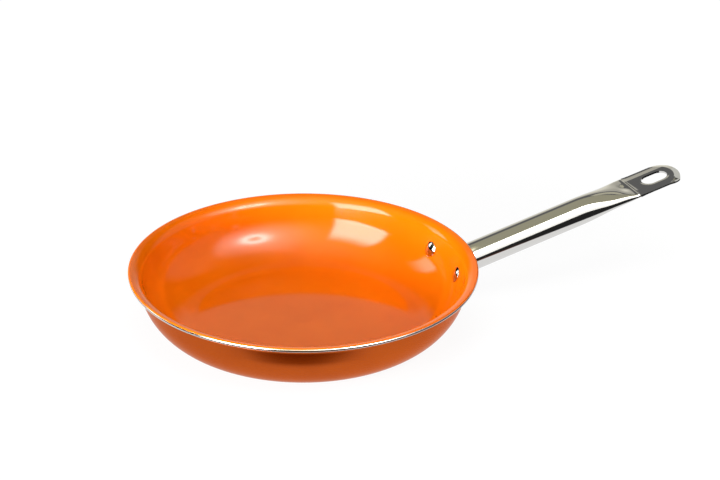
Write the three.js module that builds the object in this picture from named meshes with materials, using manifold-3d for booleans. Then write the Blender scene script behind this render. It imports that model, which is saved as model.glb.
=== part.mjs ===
// Copper-coloured frying pan: a pressed aluminium shell with a non-stick lining and an outer lacquer,
// a steel base disc, and a flattened steel tube handle on a riveted saddle.
// Millimetres, +Z up, +X along the handle. The origin is the centre of the underside.

import * as THREE from "three";
import { mergeVertices } from "three/addons/utils/BufferGeometryUtils.js";
import Module from "manifold-3d";

const wasm = await Module();
wasm.setup();

const degrees = Math.PI / 180;

// Shell
const rimDiameter = 260;
const panHeight = 48.7;
const wallAngle = 76 * degrees;
const cornerRadius = 40;
const flareRadius = 9;
const lipAngle = 12 * degrees;
const lipLand = 1.6;
const sheetThickness = 2.8;
const liningThickness = 0.3;
const lacquerThickness = 0.3;
const bareFootAngle = 10 * degrees;

// Base disc, held by studs of the shell that fill its holes
const footWidth = 10;
const plateThickness = 0.8;
const studDiameter = 4;
const studRoot = 0.6;
const studRings = 2;
const studMargin = 19;
const studsPerRingStep = 8;

// Handle tube, measured along its axis from the pan's wall
const handleLength = 203;
const handleRise = 14 * degrees;
const handleRootHeight = 26.5;
const tubeDiameter = 22;
const tubeWall = 0.9;
const flattenLength = 50;
const tongueLength = 40.8;
const tongueGap = 0.4;
const tongueLift = 1.1;
const tipRadius = 22.5;
const tipCornerRadius = 3;
const slotLength = 21.5;
const slotWidth = 14;
const slotToTip = 20.2;

// Saddle, its spigot inside the tube, and the weld between them
const saddleThickness = 2;
const saddleMargin = 1;
const saddleWingRadius = 9;
const spigotLength = 18;
const spigotWall = 1.5;
const weldLeg = 2;

// Rivets
const rivetSpacing = 47;
const rivetHeight = 30.9;
const rivetShankDiameter = 5;
const rivetHeadDiameter = 12;
const rivetHeadHeight = 2.4;
const rivetHeadEdge = 0.9;
const rivetTailDiameter = 8.4;
const rivetTailHeight = 1.8;
const rivetTailChamfer = 0.9;

// Clearances
const seatGap = 0.3;
const coatGap = 0.3;
const bondGap = 0.05;
const trimAllowance = 0.2;

// Facets
const turnSegments = 48;
const cornerSegments = 5;
const flareSegments = 3;
const footSegments = 1;
const edgeSegments = 4;
const tubeSegments = 24;
const flattenSegments = 7;
const roundSegments = 8;
const curveSegments = 5;

// Values worked out from the dimensions
const sheetInside = liningThickness + bondGap;
const sheetOutside = sheetInside + sheetThickness;
const lacquerInside = sheetOutside + bondGap;
const shellThickness = lacquerInside + lacquerThickness;
const saddleInside = shellThickness + seatGap;
const saddleOutside = saddleInside + saddleThickness;
const tubeRadius = tubeDiameter / 2;
const tongueThickness = 2 * tubeWall + tongueGap;
const weldInside = tubeRadius + seatGap;
const saddleHubRadius = weldInside + weldLeg + saddleMargin;
const beyond = rimDiameter;

function solidOf(geometry) {
  const bare = geometry.clone();
  bare.deleteAttribute("normal");
  bare.deleteAttribute("uv");
  const merged = mergeVertices(bare);
  const corners = merged.index.array;
  const kept = [];
  for (let i = 0; i < corners.length; i += 3) {
    const [a, b, c] = [corners[i], corners[i + 1], corners[i + 2]];
    if (a !== b && b !== c && c !== a) {
      kept.push(a, b, c);
    }
  }
  const mesh = new wasm.Mesh({
    numProp: 3,
    vertProperties: new Float32Array(merged.attributes.position.array),
    triVerts: new Uint32Array(kept),
  });
  return new wasm.Manifold(mesh);
}

function geometryOf(solid) {
  const mesh = solid.getMesh();
  const geometry = new THREE.BufferGeometry();
  geometry.setAttribute("position", new THREE.BufferAttribute(mesh.vertProperties, 3));
  geometry.setIndex(new THREE.BufferAttribute(mesh.triVerts, 1));
  const facets = geometry.toNonIndexed();
  facets.computeVertexNormals();
  return facets;
}

function cutAll(solid, cutters) {
  return cutters.reduce((rest, cutter) => rest.subtract(cutter), solid);
}

// A profile of [radius, height] points turned about +Z. The outside of the profile runs upwards.
function turned(points, segments) {
  return new THREE.LatheGeometry(points, segments).rotateX(Math.PI / 2);
}

function closed(points) {
  return [...points, points[0].clone()];
}

function rod(radius, from, to) {
  const profile = [
    new THREE.Vector2(0, from),
    new THREE.Vector2(radius, from),
    new THREE.Vector2(radius, to),
    new THREE.Vector2(0, to),
  ];
  return turned(profile, roundSegments);
}

// The shell's cross-section: a flat floor, a corner arc, a straight wall, a flare and a short flat lip with a
// rounded edge. Every face is the wet face moved outwards by an offset, so the coats and the saddle fit the
// sheet exactly. The floor is what the rim, the wall's angle and its two arcs leave.
const sheetMiddle = (sheetInside + sheetOutside) / 2;
const edgeRadius = sheetThickness / 2;
const edgeHeight = panHeight - sheetMiddle * Math.cos(lipAngle);
const edgeCentre = new THREE.Vector2(rimDiameter / 2 - edgeRadius, edgeHeight);
const lipSlope = new THREE.Vector2(Math.cos(lipAngle), Math.sin(lipAngle));
const lipStart = edgeCentre.clone().addScaledVector(lipSlope, -lipLand);
const flareCentre = arcPoint(lipStart, flareRadius - sheetMiddle, lipAngle);
const wallTop = arcPoint(flareCentre, -flareRadius, wallAngle);
const wallFootHeight = shellThickness + cornerRadius * (1 - Math.cos(wallAngle));
const wallReach = (wallTop.y - wallFootHeight) / Math.tan(wallAngle) + cornerRadius * Math.sin(wallAngle);
const floorRadius = wallTop.x - wallReach;
const cornerCentre = new THREE.Vector2(floorRadius, shellThickness + cornerRadius);
const plateDiameter = 2 * (floorRadius - footWidth);
const studRingPitch = (plateDiameter / 2 - studMargin) / studRings;

// A point on an arc, where the angle is the slope of the arc there.
function arcPoint(centre, radius, slope) {
  return new THREE.Vector2(centre.x + radius * Math.sin(slope), centre.y - radius * Math.cos(slope));
}

function arc(centre, radius, from, to, segments) {
  const points = [];
  for (let i = 0; i <= segments; i++) {
    points.push(arcPoint(centre, radius, from + ((to - from) * i) / segments));
  }
  return points;
}

function cornerCurve(offset, from = 0) {
  return arc(cornerCentre, cornerRadius + offset, from, wallAngle, cornerSegments);
}

function flareCurve(offset) {
  return arc(flareCentre, offset - flareRadius, wallAngle, lipAngle, flareSegments);
}

function shellCurve(offset, from = 0) {
  const lipEnd = arcPoint(edgeCentre, offset - sheetMiddle, lipAngle);
  return [...cornerCurve(offset, from), ...flareCurve(offset), lipEnd];
}

// Corner and straight wall only, carried on straight past the flare.
function wallCurve(offset) {
  const run = new THREE.Vector2(Math.cos(wallAngle), Math.sin(wallAngle));
  const top = arcPoint(flareCentre, offset - flareRadius, wallAngle).addScaledVector(run, tubeDiameter);
  return [...cornerCurve(offset), top];
}

// Radius and slope of the wet face at a height on its corner or straight wall.
function wallAt(height) {
  const cornerSlope = Math.acos(Math.min(1, (cornerCentre.y - height) / cornerRadius));
  const slope = Math.min(cornerSlope, wallAngle);
  const foot = arcPoint(cornerCentre, cornerRadius, slope);
  return { radius: foot.x + (height - foot.y) / Math.tan(slope), slope };
}

// Everything within a curve, as a solid to cope the handle's pieces against.
function within(curve) {
  const top = curve[curve.length - 1];
  return turned([new THREE.Vector2(0, curve[0].y), ...curve, new THREE.Vector2(0, top.y)], turnSegments);
}

function aroundWall(inner, outer) {
  return turned(closed([...wallCurve(outer), ...wallCurve(inner).reverse()]), turnSegments);
}

// Rivet stations, each with its +Z along the wall's normal, pointing into the pan
const rivetWall = wallAt(rivetHeight);

function rivetStation(side) {
  const station = new THREE.Group();
  const turn = Math.asin((side * rivetSpacing) / 2 / rivetWall.radius);
  const inward = new THREE.Vector3(-Math.sin(rivetWall.slope), 0, Math.cos(rivetWall.slope));
  const up = new THREE.Vector3(0, 0, 1);
  station.position.set(rivetWall.radius, 0, rivetHeight).applyAxisAngle(up, turn);
  station.quaternion.setFromUnitVectors(up, inward.applyAxisAngle(up, turn));
  station.updateMatrixWorld();
  return station;
}

const rivetStations = { rivet_left: rivetStation(1), rivet_right: rivetStation(-1) };
const rivetReach = saddleOutside + seatGap + rivetTailHeight + rivetHeadHeight;
const rivetHoles = Object.values(rivetStations).map((station) => {
  const hole = rod(rivetShankDiameter / 2 + seatGap, -rivetReach, rivetReach);
  return solidOf(hole.applyMatrix4(station.matrixWorld));
});

// Handle group: +X along the tube's axis, from the outer face of the wall
const handle = new THREE.Group();
handle.name = "handle";
const rootWall = wallAt(handleRootHeight);
handle.position.set(rootWall.radius + shellThickness / Math.sin(rootWall.slope), 0, handleRootHeight);
handle.rotation.y = -handleRise;
handle.updateMatrixWorld();
const toHandle = handle.matrixWorld.clone().invert();

// Shell and coats
function studPlaces() {
  const places = [];
  for (let ring = 1; ring <= studRings; ring++) {
    const count = ring * studsPerRingStep;
    for (let i = 0; i < count; i++) {
      const angle = (i / count) * 2 * Math.PI;
      const radius = ring * studRingPitch;
      places.push(new THREE.Vector2(radius * Math.cos(angle), radius * Math.sin(angle)));
    }
  }
  return places;
}

function studRods(radius, from, to) {
  return studPlaces().map((place) => solidOf(rod(radius, from, to).translate(place.x, place.y, 0)));
}

function panBody() {
  const seatRadius = plateDiameter / 2 + seatGap;
  const edge = arc(edgeCentre, edgeRadius, lipAngle, lipAngle + Math.PI, edgeSegments);
  const profile = [
    new THREE.Vector2(0, plateThickness),
    new THREE.Vector2(seatRadius, plateThickness),
    new THREE.Vector2(seatRadius, 0),
    ...arc(cornerCentre, cornerRadius + shellThickness, 0, bareFootAngle, footSegments),
    ...shellCurve(sheetOutside, bareFootAngle),
    ...edge.slice(1, -1),
    ...shellCurve(sheetInside).reverse(),
    new THREE.Vector2(0, shellThickness - sheetInside),
  ];
  const studs = studRods(studDiameter / 2, 0, plateThickness + studRoot);
  const shell = studs.reduce((sum, stud) => sum.add(stud), solidOf(turned(profile, turnSegments)));
  return geometryOf(cutAll(shell, rivetHoles));
}

function nonstickLining() {
  const profile = [
    new THREE.Vector2(0, shellThickness - liningThickness),
    ...shellCurve(liningThickness),
    ...shellCurve(0).reverse(),
    new THREE.Vector2(0, shellThickness),
  ];
  return geometryOf(cutAll(solidOf(turned(profile, turnSegments)), rivetHoles));
}

function outerLacquer() {
  const hem = bareFootAngle + coatGap / (cornerRadius + shellThickness);
  const profile = closed([
    ...shellCurve(shellThickness, hem),
    ...shellCurve(lacquerInside, hem).reverse(),
  ]);
  return geometryOf(cutAll(solidOf(turned(profile, turnSegments)), rivetHoles));
}

function basePlate() {
  const profile = [
    new THREE.Vector2(0, 0),
    new THREE.Vector2(plateDiameter / 2, 0),
    new THREE.Vector2(plateDiameter / 2, plateThickness),
    new THREE.Vector2(0, plateThickness),
  ];
  const holes = studRods(studDiameter / 2 + seatGap, -plateThickness, 2 * plateThickness);
  return geometryOf(cutAll(solidOf(turned(profile, turnSegments)), holes));
}

// Handle tube: round, then pressed towards a flat tongue, a little above its axis, without changing its girth
const creaseStation = handleLength - tongueLength;
const flattenStation = creaseStation - flattenLength;

// How far the tube is pressed at a station: 0 where it is round, 1 from the crease to the tip.
function pressAt(station) {
  const share = THREE.MathUtils.clamp((station - flattenStation) / flattenLength, 0, 1);
  return 1 - Math.cos((share * Math.PI) / 2);
}

// Moves a point of a round section, given by its angle from +Y, onto a flat section with round ends and
// the same girth.
function pressed(radius, half, angle) {
  const flat = (Math.PI / 2) * (radius - half);
  const quarter = Math.asin(Math.abs(Math.sin(angle)));
  const run = radius * quarter - (Math.PI / 2) * half;
  const bend = Math.min(radius * quarter / half, Math.PI / 2);
  const across = run > 0 ? flat - run : flat + half * Math.cos(bend);
  return {
    y: Math.sign(Math.cos(angle)) * across,
    z: Math.sign(Math.sin(angle)) * half * Math.sin(bend),
  };
}

function pressedRod(radius, from, to) {
  const stations = [from];
  for (let i = 0; i <= flattenSegments; i++) {
    stations.push(flattenStation + (flattenLength * i) / flattenSegments);
  }
  if (to > creaseStation) {
    stations.push(to);
  }
  const rows = stations.length - 1;
  const geometry = new THREE.CylinderGeometry(radius, radius, rows, tubeSegments, rows);
  geometry.rotateZ(-Math.PI / 2);
  const position = geometry.attributes.position;
  for (let i = 0; i < position.count; i++) {
    const station = stations[Math.round(position.getX(i) + rows / 2)];
    const press = pressAt(station);
    const outerHalf = THREE.MathUtils.lerp(tubeRadius, tongueThickness / 2, press);
    const half = outerHalf - (tubeRadius - radius);
    const [y, z] = [position.getY(i), position.getZ(i)];
    const onAxis = Math.hypot(y, z) < radius / 2;
    const place = onAxis ? { y: 0, z: 0 } : pressed(radius, half, Math.atan2(z, y));
    position.setXYZ(i, station, place.y, place.z + tongueLift * press);
  }
  return geometry;
}

function plate(shape, from, to) {
  const settings = { depth: to - from, bevelEnabled: false, curveSegments };
  return new THREE.ExtrudeGeometry(shape, settings).translate(0, 0, from);
}

function obround(centre, length, width) {
  const half = (length - width) / 2;
  const shape = new THREE.Shape();
  shape.absarc(centre + half, 0, width / 2, -Math.PI / 2, Math.PI / 2);
  shape.absarc(centre - half, 0, width / 2, Math.PI / 2, (3 * Math.PI) / 2);
  return shape;
}

// The tube's outline from above, with the tongue's rounded tip.
function handleOutline() {
  const tongueHalfWidth = tongueThickness / 2 + (Math.PI / 2) * (tubeRadius - tongueThickness / 2);
  const halfWidth = tongueHalfWidth + trimAllowance;
  const cornerAcross = halfWidth - tipCornerRadius;
  const tipAngle = Math.asin(cornerAcross / (tipRadius - tipCornerRadius));
  const tipCentre = handleLength - tipRadius;
  const cornerAlong = tipCentre + (tipRadius - tipCornerRadius) * Math.cos(tipAngle);
  const shape = new THREE.Shape();
  shape.moveTo(-beyond, halfWidth);
  shape.lineTo(-beyond, -halfWidth);
  shape.absarc(cornerAlong, -cornerAcross, tipCornerRadius, -Math.PI / 2, -tipAngle);
  shape.absarc(tipCentre, 0, tipRadius, -tipAngle, tipAngle);
  shape.absarc(cornerAlong, cornerAcross, tipCornerRadius, tipAngle, Math.PI / 2);
  return shape;
}

function handleTube() {
  const slotCentre = handleLength - slotToTip;
  const cutters = [
    pressedRod(tubeRadius - tubeWall, -2 * tubeDiameter, creaseStation),
    plate(obround(slotCentre, slotLength, slotWidth), -tubeDiameter, tubeDiameter),
    within(wallCurve(saddleOutside + seatGap)).applyMatrix4(toHandle),
  ];
  const outside = solidOf(pressedRod(tubeRadius, -tubeDiameter, handleLength));
  const trimmed = outside.intersect(solidOf(plate(handleOutline(), -tubeDiameter, tubeDiameter)));
  return geometryOf(cutAll(trimmed, cutters.map(solidOf)));
}

// A round sleeve about the handle's axis, in the handle's own frame.
function sleeve(inner, outer, from, to) {
  const profile = closed([
    new THREE.Vector2(outer, from),
    new THREE.Vector2(outer, to),
    new THREE.Vector2(inner, to),
    new THREE.Vector2(inner, from),
  ]);
  return turned(profile, tubeSegments).rotateY(Math.PI / 2);
}

function handleWeld() {
  const ring = solidOf(sleeve(weldInside, weldInside + weldLeg, -tubeDiameter, tubeDiameter));
  const seam = saddleOutside + seatGap;
  return geometryOf(ring.intersect(solidOf(aroundWall(seam, seam + weldLeg).applyMatrix4(toHandle))));
}

// The saddle's outline seen along the handle: a hub with a rounded wing about each rivet.
function saddleOutline() {
  const hubHeight = handleRootHeight + (saddleOutside - shellThickness) * Math.tan(handleRise);
  const wingAcross = rivetSpacing / 2;
  const wingUp = rivetHeight - saddleOutside * Math.cos(rivetWall.slope);
  const spread = Math.hypot(wingAcross, wingUp - hubHeight);
  const lean = Math.atan2(wingUp - hubHeight, wingAcross);
  const taper = Math.acos((saddleHubRadius - saddleWingRadius) / spread);
  const shape = new THREE.Shape();
  const hub = [0, hubHeight, saddleHubRadius];
  shape.absarc(...hub, Math.PI - lean + taper, 2 * Math.PI + lean - taper);
  shape.absarc(wingAcross, wingUp, saddleWingRadius, lean - taper, lean + taper);
  shape.absarc(...hub, lean + taper, Math.PI - lean - taper);
  shape.absarc(-wingAcross, wingUp, saddleWingRadius, Math.PI - lean - taper, Math.PI - lean + taper);
  return shape;
}

function handleBracket() {
  const outline = plate(saddleOutline(), 0, beyond).applyMatrix4(
    new THREE.Matrix4().makeBasis(
      new THREE.Vector3(0, 1, 0),
      new THREE.Vector3(0, 0, 1),
      new THREE.Vector3(1, 0, 0),
    ),
  );
  const underLip = solidOf(within(shellCurve(shellThickness + seatGap / 2)));
  const saddle = solidOf(aroundWall(saddleInside, saddleOutside))
    .intersect(solidOf(outline))
    .subtract(underLip);
  const spigotRadius = tubeRadius - tubeWall - seatGap;
  const spigot = sleeve(spigotRadius - spigotWall, spigotRadius, -tubeDiameter, spigotLength);
  const rooted = solidOf(spigot.applyMatrix4(handle.matrixWorld))
    .subtract(solidOf(within(wallCurve(saddleInside + saddleThickness / 2))));
  return geometryOf(cutAll(saddle.add(rooted), rivetHoles));
}

// A rivet in its station's frame, with the underside of its head formed to the wall.
function rivet(station) {
  const headRadius = rivetHeadDiameter / 2;
  const domeRise = rivetHeadHeight - rivetHeadEdge;
  const domeRadius = (headRadius ** 2 + domeRise ** 2) / (2 * domeRise);
  const domeCentre = new THREE.Vector2(0, rivetHeadHeight - domeRadius);
  const domeEdge = Math.PI - Math.asin(headRadius / domeRadius);
  const head = turned([
    new THREE.Vector2(0, -sheetThickness / 2),
    new THREE.Vector2(headRadius, -sheetThickness / 2),
    ...arc(domeCentre, domeRadius, domeEdge, Math.PI, curveSegments),
  ], 2 * roundSegments);
  const wall = aroundWall(-seatGap, shellThickness).applyMatrix4(station.matrixWorld.clone().invert());
  const shankRadius = rivetShankDiameter / 2;
  const tailRadius = rivetTailDiameter / 2;
  const tailTop = -saddleOutside - seatGap;
  const tailEnd = tailTop - rivetTailHeight;
  const shank = turned([
    new THREE.Vector2(0, tailEnd),
    new THREE.Vector2(tailRadius - rivetTailChamfer, tailEnd),
    new THREE.Vector2(tailRadius, tailEnd + rivetTailChamfer),
    new THREE.Vector2(tailRadius, tailTop),
    new THREE.Vector2(shankRadius, tailTop),
    new THREE.Vector2(shankRadius, rivetHeadHeight / 2),
    new THREE.Vector2(0, rivetHeadHeight / 2),
  ], 2 * roundSegments);
  return geometryOf(solidOf(head).subtract(solidOf(wall)).add(solidOf(shank)));
}

// Finishes
function finish(color, roughness, metalness) {
  return new THREE.MeshStandardMaterial({ color, roughness, metalness });
}

function part(name, geometry, material) {
  const mesh = new THREE.Mesh(geometry, material);
  mesh.name = name;
  return mesh;
}

const pan = new THREE.Group();
pan.name = "frying_pan";
pan.add(part("pan_body", panBody(), finish(0xc9c8c6, 0.25, 1)));
pan.add(part("nonstick_lining", nonstickLining(), finish(0xea6c0c, 0.12, 0)));
pan.add(part("outer_lacquer", outerLacquer(), finish(0xa85020, 0.25, 0.6)));
pan.add(part("base_plate", basePlate(), finish(0xb9b8b5, 0.4, 1)));
pan.add(part("handle_bracket", handleBracket(), finish(0xc2c1bd, 0.3, 1)));

for (const [name, station] of Object.entries(rivetStations)) {
  station.add(part(name, rivet(station), finish(0xd3d1cc, 0.15, 1)));
  pan.add(station);
}

handle.add(part("handle_tube", handleTube(), finish(0xd8d7d3, 0.08, 1)));
handle.add(part("handle_weld", handleWeld(), finish(0xb0aea8, 0.45, 1)));
pan.add(handle);

export default pan;
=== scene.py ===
from math import acos, asin, atan2, copysign, cos, exp, hypot, pi, radians, sin, sqrt, tan
from types import SimpleNamespace

import bmesh
import bpy
from bpy.props import FloatProperty, FloatVectorProperty, IntProperty, PointerProperty
from mathutils import Matrix, Vector


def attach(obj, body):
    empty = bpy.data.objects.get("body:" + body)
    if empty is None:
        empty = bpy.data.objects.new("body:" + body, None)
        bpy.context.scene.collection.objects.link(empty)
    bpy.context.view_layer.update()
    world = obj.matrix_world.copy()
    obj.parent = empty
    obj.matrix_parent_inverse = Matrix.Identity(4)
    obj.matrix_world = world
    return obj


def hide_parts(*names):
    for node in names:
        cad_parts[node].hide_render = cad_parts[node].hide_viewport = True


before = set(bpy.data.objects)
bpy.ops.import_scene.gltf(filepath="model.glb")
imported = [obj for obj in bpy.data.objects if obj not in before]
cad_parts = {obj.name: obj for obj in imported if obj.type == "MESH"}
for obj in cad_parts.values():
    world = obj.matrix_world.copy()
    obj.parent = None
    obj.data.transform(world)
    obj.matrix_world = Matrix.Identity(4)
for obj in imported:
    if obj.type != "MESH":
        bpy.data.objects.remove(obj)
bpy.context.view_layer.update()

bl_info = {
    "name": "Coated Frying Pan",
    "version": (1, 0, 0),
    "blender": (4, 5, 0),
    "location": "3D View > Sidebar > Frying Pan",
    "description": "Builds a coated frying pan with a pressed tube handle around its CAD frame",
    "category": "Object",
}

MM = 0.001
WELD_TOGETHER = 1e-7
ON_PLANE = 1e-8
HALVINGS = 50
ROUND_STEPS = 192
CORNER_STEPS = 28
FLARE_STEPS = 14
EDGE_STEPS = 16
COVER_STEPS = 8
HEM_STEPS = 6
DISC_SIDES = 160
STUD_SIDES = 24
RIVET_SIDES = 64
TUBE_SIDES = 96
WELD_SIDES = 14
WELD_STEPS = 240
METAL = {"Metallic": 1.0}
WHITE = (1, 1, 1)


def length(name, description, default):
    """A length property whose default is given in millimetres."""
    return FloatProperty(name=name, description=description, default=default * MM, unit="LENGTH", precision=5)


def angle(name, description, default):
    """An angle property whose default is given in degrees."""
    return FloatProperty(
        name=name, description=description, default=radians(default), unit="ROTATION", subtype="ANGLE"
    )


def colour(name, description, default):
    """A colour property in scene-linear values."""
    return FloatVectorProperty(
        name=name, description=description, default=default, size=3, min=0.0, max=1.0, subtype="COLOR"
    )


class ShellSizes(bpy.types.PropertyGroup):
    """Sizes of the pressed shell, its coats and its base disc"""

    rim_diameter: length("Rim diameter", "Across the outside of the rim", 260)
    pan_height: length("Pan height", "From the standing face to the top of the lip", 48.7)
    wall_angle: angle("Wall angle", "Slope of the straight wall above the horizontal", 76)
    corner_radius: length("Corner radius", "Wet face between the floor and the wall", 40)
    flare_radius: length("Flare radius", "Wet face between the wall and the lip", 9)
    lip_angle: angle("Lip angle", "Slope of the lip above the horizontal", 12)
    lip_land: length("Lip land", "Flat part of the lip outside the flare", 1.6)
    sheet: length("Sheet", "Thickness of the aluminium sheet", 2.8)
    coat: length("Coat", "Thickness that each coat is modelled with", 0.3)
    bond_gap: length("Bond gap", "Hairline between the sheet and its coats", 0.05)
    edge_cover: angle("Edge cover", "How far the lining runs over the rounded edge", 52)
    bare_foot: angle("Bare foot", "Turn of the corner that the outer coat leaves bare", 10)
    foot_width: length("Foot width", "Bare ring between the base disc and the corner", 10)
    disc_thickness: length("Disc thickness", "Thickness of the steel base disc", 0.8)
    disc_gap: length("Disc gap", "Clearance round the disc and its studs", 0.3)
    stud_diameter: length("Stud diameter", "Studs of the shell that hold the disc", 4)
    stud_margin: length("Stud margin", "From the outer studs to the disc's edge", 19)
    stud_rings: IntProperty(name="Stud rings", description="Rings of studs", default=2, min=1)
    studs_per_step: IntProperty(
        name="Studs per step", description="Studs added by each ring", default=8, min=1
    )


class HandleSizes(bpy.types.PropertyGroup):
    """Sizes of the tube handle, its saddle, its weld and the rivets"""

    length: length("Handle length", "Along the tube's axis from the wall to the tip", 203)
    rise: angle("Rise", "Slope of the tube above the horizontal", 14)
    root_height: length("Root height", "Of the tube's axis at the outer face of the wall", 26.5)
    tube_diameter: length("Tube diameter", "Outside of the round tube", 22)
    flatten_length: length("Flatten length", "From the round tube to the crease", 50)
    ledge_length: length("Ledge length", "Flat just before the step at the crease", 1.7)
    step_length: length("Step length", "Of the small step down to the tongue", 2.0)
    step_height: length("Step height", "Of the small step down to the tongue", 0.8)
    dent_depth: length("Dent depth", "Of the hollow that pressing leaves before the crease", 0.8)
    tongue_length: length("Tongue length", "From the crease to the tip", 40.8)
    tongue_thickness: length("Tongue thickness", "Between the tongue's two faces", 2.2)
    tongue_lift: length("Tongue lift", "Of the tongue's middle above the tube's axis", 1.1)
    border_width: length("Border width", "Flat border along the tongue's sides", 2.2)
    border_thickness: length("Border thickness", "Of the tongue along its sides", 1.2)
    bevel_width: length("Bevel width", "Slope from the border up to the face", 5)
    tip_radius: length("Tip radius", "Of the tongue's end, seen from above", 22.5)
    tip_corner: length("Tip corner", "Radius between the tongue's side and its end", 3)
    tip_bevel: length("Tip bevel", "Length over which the tip is turned down", 4.4)
    tip_slope: angle("Tip slope", "By which the tip is turned down", 14)
    slot_length: length("Slot length", "Of the hanging slot", 21.5)
    slot_width: length("Slot width", "Of the hanging slot", 14)
    slot_to_tip: length("Slot to tip", "From the slot's centre to the tip", 20.2)
    run_out: length("Run-out", "Rise of the tongue's face towards the crease", 0.35)
    dish_width: length("Dish width", "Of the shallow slope round the slot", 2.2)
    dish_depth: length("Dish depth", "Of the shallow slope round the slot", 0.27)
    saddle_thickness: length("Saddle thickness", "Of the plate on the outside of the wall", 2)
    saddle_margin: length("Saddle margin", "Plate outside the weld", 1)
    saddle_wing: length("Saddle wing", "Radius of the plate round each rivet", 9)
    seat_gap: length("Seat gap", "Clearance between joined pieces", 0.3)
    weld_leg: length("Weld leg", "Size of the weld bead", 2)
    rivet_spacing: length("Rivet spacing", "Between the two rivets", 47)
    rivet_height: length("Rivet height", "Of the rivets on the wet face", 30.9)
    head_diameter: length("Head diameter", "Of the rivet heads inside the pan", 12)
    head_height: length("Head height", "Of the rivet heads inside the pan", 2.4)
    head_edge: length("Head edge", "Height at which the domes of the heads start", 0.9)
    head_round: length("Head round", "Rounding between a head's side and its dome", 0.35)
    shank_diameter: length("Shank diameter", "Of the rivets", 5)
    tail_diameter: length("Tail diameter", "Of the rivets outside the saddle", 8.4)
    tail_height: length("Tail height", "Of the rivets outside the saddle", 1.8)


class PanColours(bpy.types.PropertyGroup):
    """Colours of the coats and metals, in linear values"""

    lining: colour("Lining", "Orange non-stick coat", (0.84, 0.150, 0.0015))
    # This colour is also used for the painted dark reflection in the middle of the pan's floor.
    lining_shade: colour("Lining shade", "Deeper clouds in the orange coat", (0.80, 0.137, 0.0010))
    lacquer: colour("Lacquer", "Brown-copper coat outside", (0.63, 0.108, 0.006))
    lacquer_shade: colour("Lacquer shade", "Deeper clouds in the copper coat", (0.58, 0.094, 0.005))
    aluminium: colour("Aluminium", "Bare edge, foot and studs", (0.80, 0.79, 0.77))
    steel: colour("Steel", "Polished handle and rivets", (0.80, 0.79, 0.77))
    disc: colour("Disc", "Turned base disc", (0.62, 0.61, 0.59))
    weld: colour("Weld", "Weld bead", (0.50, 0.47, 0.43))
    weld_tint: colour("Weld tint", "Heat tint beside the weld", (0.44, 0.33, 0.20))


class StudioSettings(bpy.types.PropertyGroup):
    """Camera and light"""

    turn: angle("Turn", "Of the camera round the pan, from straight across the handle", 22.8)
    elevation: angle("Elevation", "Of the camera above the rim", 25.678)
    roll: angle("Roll", "Of the camera about its line of sight", 0.666)
    distance: length("Distance", "From the camera to the point it looks at", 1500)
    aim_along: length("Aim along", "The point it looks at, to the right of the pan's axis", 41.674)
    aim_height: length("Aim height", "The point it looks at, above the floor", 69.9)
    lens: FloatProperty(name="Lens", description="Focal length on a 36 mm sensor", default=101.596)
    ambient: FloatProperty(name="Ambient", description="Soft light from all round", default=0.15)


# Shapes shared by the pieces


def clamp(value, low=0.0, high=1.0):
    return max(low, min(high, value))


def smooth(value):
    """Go smoothly from 0 to 1 as a value does."""
    value = clamp(value)
    return value * value * (3 - 2 * value)


def halve(low, high, holds):
    """The value between two limits up to which a test holds."""
    for _ in range(HALVINGS):
        middle = (low + high) / 2
        if holds(middle):
            low = middle
        else:
            high = middle
    return low


def towards(around, up):
    """A direction by its degrees: around from +Y to +X, and up from the horizon."""
    around, up = radians(around), radians(up)
    return Vector((sin(around) * cos(up), cos(around) * cos(up), sin(up)))


def on_arc(centre, radius, slope):
    """Point of an arc in the pan's section where the arc has this slope."""
    return centre + Vector((sin(slope), -cos(slope))) * radius


def section_of(size):
    """Centres and offsets of the shell's section, as radius and height."""
    inside = size.coat + size.bond_gap
    outside = inside + size.sheet
    shell = outside + size.bond_gap + size.coat
    middle = (inside + outside) / 2
    edge_radius = size.sheet / 2
    edge = Vector((size.rim_diameter / 2 - edge_radius, size.pan_height - middle * cos(size.lip_angle)))
    lip = Vector((cos(size.lip_angle), sin(size.lip_angle)))
    flare = on_arc(edge - lip * size.lip_land, size.flare_radius - middle, size.lip_angle)
    top = on_arc(flare, -size.flare_radius, size.wall_angle)
    foot = shell + size.corner_radius * (1 - cos(size.wall_angle))
    reach = (top.y - foot) / tan(size.wall_angle) + size.corner_radius * sin(size.wall_angle)
    corner = Vector((top.x - reach, shell + size.corner_radius))
    return SimpleNamespace(
        inside=inside, outside=outside, shell=shell, middle=middle, edge=edge, edge_radius=edge_radius,
        flare=flare, corner=corner, bend=size.corner_radius, flare_bend=size.flare_radius,
        wall=size.wall_angle, lip=size.lip_angle, disc=corner.x - size.foot_width,
    )


def wall_at(section, offset, height):
    """Radius and slope of the wall, moved out by an offset, at a height on its corner or straight part."""
    bend = section.bend + offset
    slope = min(section.wall, acos(clamp((section.corner.y - height) / bend, -1.0)))
    foot = on_arc(section.corner, bend, slope)
    return foot.x + (height - foot.y) / tan(slope), slope


def saddle_face(section, size):
    """Offset of the saddle's outer face from the wet face."""
    return section.shell + size.seat_gap + size.saddle_thickness


def verts_in(items):
    return [item for item in items if isinstance(item, bmesh.types.BMVert)]


def open_edges(bm):
    return [edge for edge in bm.edges if len(edge.link_faces) == 1]


def loop_edges(bm, loop):
    return [bm.edges.get((a, b)) for a, b in zip(loop, loop[1:] + loop[:1])]


def circle(bm, radius, sides, matrix, cap=False):
    return bmesh.ops.create_circle(bm, cap_ends=cap, segments=sides, radius=radius, matrix=matrix)["verts"]


def fill(bm, edges):
    bmesh.ops.triangle_fill(bm, use_beauty=True, use_dissolve=False, edges=edges)


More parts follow.
